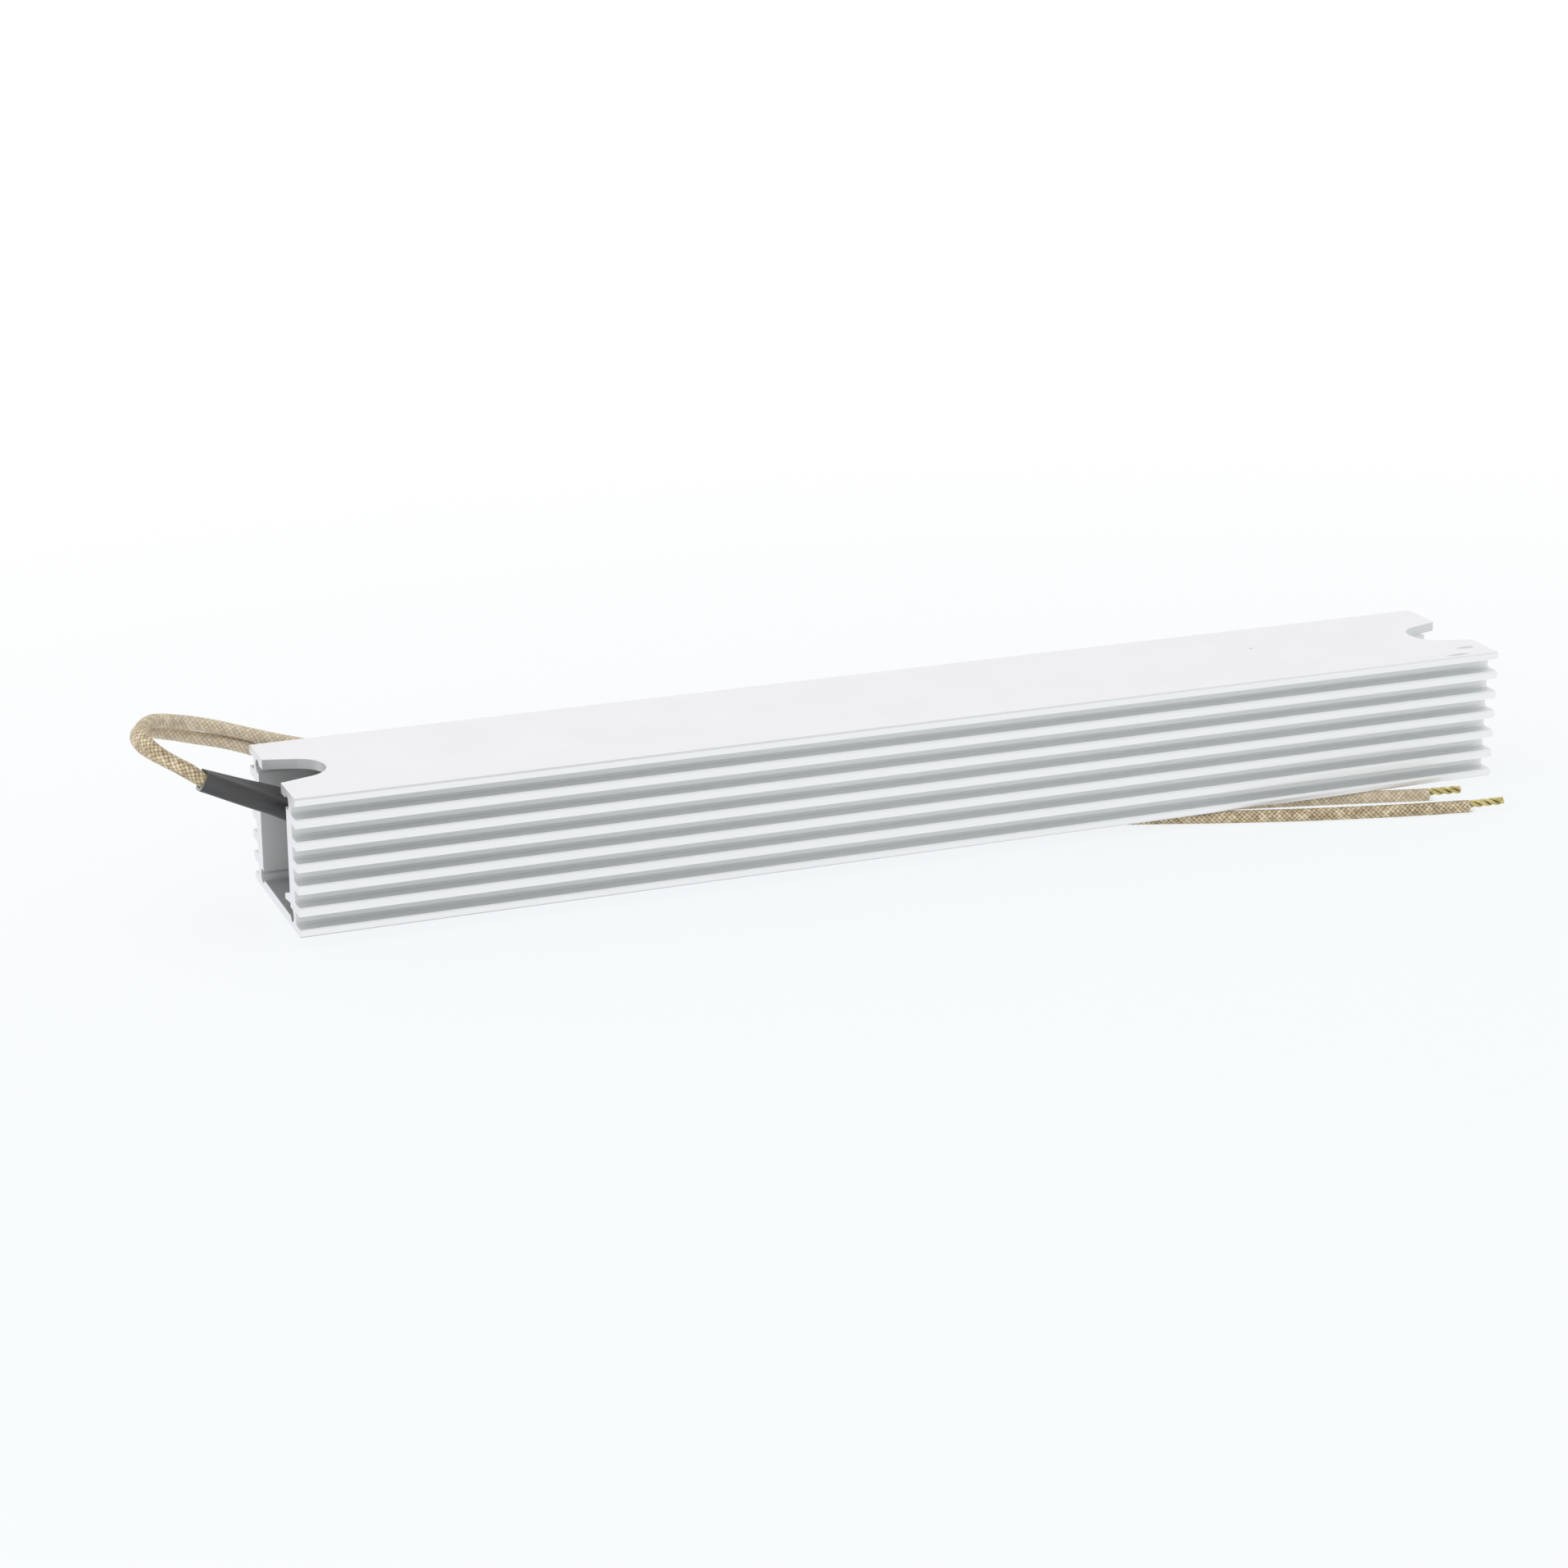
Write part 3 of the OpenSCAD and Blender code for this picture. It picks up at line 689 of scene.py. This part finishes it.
def anodised_aluminium():
    """Satin aluminium, with painted shade in the grooves and the hollow, and painted light on the lower
    edges of the fins.
    """
    s = Surface("anodised_aluminium", (0.86, 0.865, 0.88), roughness=0.45, metallic=0.75)
    x, y, z = s.axes(s.place)
    out = s.absolute(y)
    high = s.absolute(z)

    face_x, face_y, face_z = s.facing()
    rolled_lit = s.times(s.fit(face_z, *ROLLED_FACING), s.near(out, HOUSING_HIGH.y, *ROLLED_DEPTHS))
    lean = s.times(s.times(rolled_lit, ROLLED_LEAN), s.math("SIGN", y))
    soft = s.direction(face_x, s.math("ADD", face_y, lean), face_z)

    tip = s.most(s.near(out, HOUSING_HIGH.y, TIP_DEPTH, 0), rolled_lit)
    plate = s.near(high, HOUSING_HIGH.z, *FACE_DEPTHS)
    end = s.near(s.absolute(x), HOUSING_HIGH.x, *FACE_DEPTHS)
    cloud = s.noise(s.place, CLOUD_SCALE, detail=4)
    bright = s.mix(s.fit(cloud, *NOISE_NARROW), *FACE_TONES)
    # Painted shade in the grooves, darker towards the left end.
    groove_shade = s.mix(s.fit(x, *GROOVE_SHADE_TONES_X), *GROOVE_SHADE_TONES)
    # Painted shade deep in the hollow and on its floor.
    colour = s.mix(hollow_shade_share(s, x, out, z, plate), groove_shade, HOLLOW_SHADE_TONE)
    colour = s.mix(end, s.mix(plate, colour, bright), SAWN_TONE)
    # Painted light on the lower edges of the fins and flanges, paler than the tips.
    colour = s.mix(tip, colour, s.mix(rolled_lit, TIP_TONE, ROLLED_PAINTED_LIGHT_TONE))
    # Painted shade along the plates' bevelled long edges.
    colour = s.mix(edge_line_shade_share(s, x, out, high), colour, EDGE_LINE_SHADE_TONE)
    s.link(s.mix(dark_mark_share(s, x, y, z), colour, DARK_MARK_TONE), "Base Color")

    die_lines = s.noise(s.stretched(*DIE_LINES), 1)
    saw_lines = s.noise(s.stretched(*SAW_LINES), 1)
    worn = s.math("MULTIPLY_ADD", die_lines, DIE_SHARE, s.times(cloud, CLOUD_SHARE))
    s.link(s.fit(worn, *NOISE_WIDE, *HOUSING_ROUGHNESS), "Roughness")
    lines = s.math("MULTIPLY_ADD", end, s.math("SUBTRACT", saw_lines, die_lines), die_lines)
    s.bump(lines, LINE_STRENGTH, LINE_DEPTH, soft)
    return s.material


# Tones of the braid from its gaps to its crowns, with painted shade in the gaps and painted highlights
# on the crowns, and what shifts a spot up or down between them.
BRAID_GAP_SHADE_TONE = (0.15, 0.1, 0.052)
BRAID_TONE = (0.495, 0.396, 0.246)
BRAID_HIGHLIGHT_TONE = (0.78, 0.695, 0.52)
BRAID_PAINTED_LIGHT_TONE = (0.86, 0.765, 0.62)
BRAID_HEIGHTS = 0.5, 0.88
HIGHLIGHT_HEIGHTS = 0.88, 1.08
HIGHLIGHT_SHARE = 0.9
FIBRE_SCALE = 3800
FIBRE_ROUGH = 0.65
FIBRE_SHIFT = 0.35
CARRIER_SHIFT = 0.18
PATCH_SCALE = 700
PATCH_SHIFT = 0.14
FIBRE_STRENGTH = 0.3
FIBRE_DEPTH = 0.05 * MM
FUZZ = 0.8
FUZZ_ROUGHNESS = 0.18
FUZZ_TINT = (1, 0.92, 0.8, 1)


def glass_braid():
    """Woven glass fibre, with painted shade in the gaps, painted highlights on the crowns, and painted
    light in places.
    """
    s = Surface("glass_braid", (0.42, 0.32, 0.21), roughness=0.55)
    fibre = s.noise(s.place, FIBRE_SCALE, rough=FIBRE_ROUGH)
    crown = s.math("MULTIPLY_ADD", s.math("SUBTRACT", fibre, 0.5), FIBRE_SHIFT, s.stored("braid_height"))
    crown = s.math("MULTIPLY_ADD", s.math("SUBTRACT", s.stored("braid_tone"), 0.5), CARRIER_SHIFT, crown)
    patches = s.noise(s.place, PATCH_SCALE, detail=2)
    crown = s.math("ADD", crown, s.fit(patches, *NOISE_WIDE, -PATCH_SHIFT, PATCH_SHIFT))
    # Painted shade in the gaps of the weave.
    woven = s.mix(s.fit(crown, *BRAID_HEIGHTS), BRAID_GAP_SHADE_TONE, BRAID_TONE)
    # Painted highlights on the crowns of the carriers.
    woven = s.mix(s.fit(crown, *HIGHLIGHT_HEIGHTS, 0, HIGHLIGHT_SHARE), woven, BRAID_HIGHLIGHT_TONE)
    # Painted light where the braid loops, and towards the far lead's cut end.
    s.link(s.mix(s.stored("painted_light"), woven, BRAID_PAINTED_LIGHT_TONE), "Base Color")
    s.set("Sheen Weight", FUZZ)
    s.set("Sheen Roughness", FUZZ_ROUGHNESS)
    s.set("Sheen Tint", FUZZ_TINT)
    s.bump(fibre, FIBRE_STRENGTH, FIBRE_DEPTH)
    return s.material


# Tones of the sleeve: greyer over the first lead as a painted highlight, greyer where it is worn, and
# pale at the cut edge as a painted highlight.
SLEEVE_TONES = (0.007, 0.007, 0.0075), (0.06, 0.06, 0.061)
CUT_EDGE_HIGHLIGHT_TONE = (0.3, 0.32, 0.3)
SLEEVE_ROUGHNESS = 0.42, 0.52
SLEEVE_CROWN_HIGHLIGHT_SHARE = 0.7
SLEEVE_CLOUD_SHARE = 0.3
SLEEVE_CLOUD_SCALE = 220
SLEEVE_CLOUD_ROUGH = 0.6
SLEEVE_GRAIN_SCALE = 2600
SLEEVE_CLOUD_RELIEF = 0.15, 0.3 * MM
SLEEVE_GRAIN_RELIEF = 0.12, 0.04 * MM


def shrink_sleeve():
    """Black shrunk plastic with a satin, slightly uneven skin."""
    s = Surface("shrink_sleeve", (0.02, 0.02, 0.021), roughness=0.42)
    cloud = s.noise(s.place, SLEEVE_CLOUD_SCALE, detail=4, rough=SLEEVE_CLOUD_ROUGH)
    grain = s.noise(s.place, SLEEVE_GRAIN_SCALE, detail=2)
    cloudy = s.fit(cloud, *NOISE_WIDE, 0, SLEEVE_CLOUD_SHARE)
    # Painted highlight over the first lead, mixed with cloudy wear.
    worn = s.math("MULTIPLY_ADD", s.stored("crown"), SLEEVE_CROWN_HIGHLIGHT_SHARE, cloudy)
    # Painted highlight on the cut edge.
    s.link(s.mix(s.stored("cut_edge_highlight"), s.mix(worn, *SLEEVE_TONES), CUT_EDGE_HIGHLIGHT_TONE), "Base Color")
    s.link(s.fit(cloud, *NOISE_WIDE, *SLEEVE_ROUGHNESS), "Roughness")
    uneven = s.bump(cloud, *SLEEVE_CLOUD_RELIEF)
    s.bump(grain, *SLEEVE_GRAIN_RELIEF, uneven)
    return s.material


# Tones of the strands, and painted shade for the gaps between their groups.
STRAND_TONES = (0.53, 0.43, 0.165), (0.72, 0.64, 0.33)
STRAND_GAP_SHADE_TONE = (0.11, 0.075, 0.03)
STRAND_CLOUD_SCALE = 900
STRAND_RELIEF = 0.1, 0.02 * MM


def strand_metal():
    """Bare yellowish wires."""
    s = Surface("strand_metal", (0.78, 0.66, 0.3), roughness=0.34, metallic=1.0)
    cloud = s.noise(s.place, STRAND_CLOUD_SCALE)
    open_wire = s.mix(s.fit(cloud, *NOISE_NARROW), *STRAND_TONES)
    # Painted shade in the gaps between the groups of wires.
    s.link(s.mix(s.stored("gap"), open_wire, STRAND_GAP_SHADE_TONE), "Base Color")
    s.bump(cloud, *STRAND_RELIEF)
    return s.material


GRAIN_ROUGH = 0.65
GRAIN_DEPTH = 0.2 * MM


def grainy(name, dark, pale, scale, roughness, metallic=0.0, relief=0.3):
    """A plain material with grains between a dark and a pale tone."""
    s = Surface(name, pale, roughness, metallic)
    grain = s.noise(s.place, scale, detail=4, rough=GRAIN_ROUGH)
    s.link(s.mix(s.fit(grain, *NOISE_WIDE), dark, pale), "Base Color")
    s.bump(grain, relief, GRAIN_DEPTH)
    return s.material


def wear(obj, material):
    obj.data.materials.clear()
    obj.data.materials.append(material)


cement = grainy("cast_cement", (0.42, 0.4, 0.36), (0.62, 0.6, 0.55), scale=900, roughness=0.9)
sand = grainy("packed_sand", (0.45, 0.36, 0.22), (0.72, 0.63, 0.45), scale=1600, roughness=0.95)
mica = grainy("mica_board", (0.4, 0.34, 0.2), (0.6, 0.53, 0.35), scale=300, roughness=0.5, relief=0.1)
wire_metal = grainy(
    "resistance_wire", (0.25, 0.25, 0.26), (0.4, 0.4, 0.41),
    scale=800, roughness=0.4, metallic=1.0, relief=0.05,
)
splice_metal = grainy(
    "splice_metal", (0.6, 0.6, 0.6), (0.75, 0.75, 0.74),
    scale=700, roughness=0.35, metallic=1.0, relief=0.05,
)
looks = {
    "housing": anodised_aluminium(),
    "lead_end_plug": cement,
    "blind_end_plug": cement,
    "sand_fill": sand,
    "mica_former": mica,
    "mica_sheet_near": mica,
    "mica_sheet_far": mica,
    "resistance_wire": wire_metal,
    "crimp_a": splice_metal,
    "crimp_b": splice_metal,
}
for node, material in looks.items():
    wear(NODES[node], material)
braid = glass_braid()
strand = strand_metal()
for key in lead_lines:
    wear(leads[key], braid)
    wear(ropes[key], strand)
wear(sleeve, shrink_sleeve())

# White floor and background. Camera, mirror and see-through rays meet a floor that glows more the
# farther it is from a place in front of the object, and other rays a floor that glows less.
WHITE = (1, 1, 1, 1)
FLOOR_SIZE = 8
FLOOR_MATT = (0.9, 0.9, 0.9, 1)
FLOOR_TINT = (0.945, 0.974, 0.991, 1)
FLOOR_GLOW = 0.85
FLOOR_BOUNCE = 0.6
GLOW_MIDDLE = (0, -0.25, 0)
GLOW_NEAR = 0.2
GLOW_FAR = 0.65
WORLD_FILL = 0.93
bpy.ops.mesh.primitive_plane_add(size=FLOOR_SIZE, location=(0, 0, FLOOR_Z))
floor = bpy.context.object
floor.name = "floor"


def seen_directly(tree):
    """1 for camera, glossy and transmission rays."""
    path = tree.nodes.new("ShaderNodeLightPath")
    total = path.outputs["Is Camera Ray"]
    for name in ("Is Glossy Ray", "Is Transmission Ray"):
        node = tree.nodes.new("ShaderNodeMath")
        node.operation = "MAXIMUM"
        tree.links.new(total, node.inputs[0])
        tree.links.new(path.outputs[name], node.inputs[1])
        total = node.outputs[0]
    return total


def floor_material():
    """A mix of a matt white and a white glow, whose share depends on the ray and on the distance."""
    material = bpy.data.materials.new("pale_floor")
    material.use_nodes = True
    tree = material.node_tree
    tree.nodes.clear()
    matt = tree.nodes.new("ShaderNodeBsdfDiffuse")
    matt.inputs["Color"].default_value = FLOOR_MATT
    glow = tree.nodes.new("ShaderNodeEmission")
    place = tree.nodes.new("ShaderNodeTexCoord")
    away = tree.nodes.new("ShaderNodeVectorMath")
    away.operation = "DISTANCE"
    tree.links.new(place.outputs["Object"], away.inputs[0])
    away.inputs[1].default_value = GLOW_MIDDLE
    far = tree.nodes.new("ShaderNodeMapRange")
    far.interpolation_type = "SMOOTHSTEP"
    tree.links.new(away.outputs["Value"], far.inputs["Value"])
    far.inputs["From Min"].default_value = GLOW_NEAR
    far.inputs["From Max"].default_value = GLOW_FAR
    tint = tree.nodes.new("ShaderNodeMix")
    tint.data_type = "RGBA"
    tree.links.new(far.outputs[0], tint.inputs[MIX_FACTOR])
    tint.inputs[MIX_FIRST].default_value = FLOOR_TINT
    tint.inputs[MIX_SECOND].default_value = WHITE
    tree.links.new(tint.outputs[MIX_RESULT], glow.inputs["Color"])
    seen_share = tree.nodes.new("ShaderNodeMapRange")
    tree.links.new(far.outputs[0], seen_share.inputs["Value"])
    seen_share.inputs["To Min"].default_value = FLOOR_GLOW
    share = tree.nodes.new("ShaderNodeMapRange")
    tree.links.new(seen_directly(tree), share.inputs["Value"])
    share.inputs["To Min"].default_value = FLOOR_BOUNCE
    tree.links.new(seen_share.outputs[0], share.inputs["To Max"])
    both = tree.nodes.new("ShaderNodeMixShader")
    tree.links.new(share.outputs[0], both.inputs[0])
    tree.links.new(matt.outputs[0], both.inputs[1])
    tree.links.new(glow.outputs[0], both.inputs[2])
    out = tree.nodes.new("ShaderNodeOutputMaterial")
    tree.links.new(both.outputs[0], out.inputs["Surface"])
    return material


floor.data.materials.append(floor_material())

world = bpy.data.worlds.new("studio")
world.use_nodes = True
bpy.context.scene.world = world
world_tree = world.node_tree
background = world_tree.nodes["Background"]
background.inputs["Color"].default_value = WHITE
fill = world_tree.nodes.new("ShaderNodeMapRange")
world_tree.links.new(seen_directly(world_tree), fill.inputs["Value"])
fill.inputs["To Min"].default_value = WORLD_FILL
world_tree.links.new(fill.outputs[0], background.inputs["Strength"])

# Lamps: place, aim, width and power.
SOFTBOXES = {
    "key": ((-0.6, -0.3, 0.8), (-0.1, 0, 0), 1.0, 1),
    "side": ((-0.9, -0.35, 0.25), (-0.1, 0, 0), 0.5, 1.2),
    "front": ((0.6, -0.9, 0.15), (0, 0, 0), 0.7, 0.2),
}


def softbox(name, place, aim, width, power):
    data = bpy.data.lights.new(name, "AREA")
    data.shape = "DISK"
    data.size = width
    data.energy = power
    lamp = bpy.data.objects.new(name, data)
    lamp.location = place
    lamp.rotation_euler = (Vector(aim) - Vector(place)).to_track_quat("-Z", "Y").to_euler()
    bpy.context.scene.collection.objects.link(lamp)


for name, settings in SOFTBOXES.items():
    softbox(name, *settings)

scene = bpy.context.scene
scene.view_settings.view_transform = "Standard"
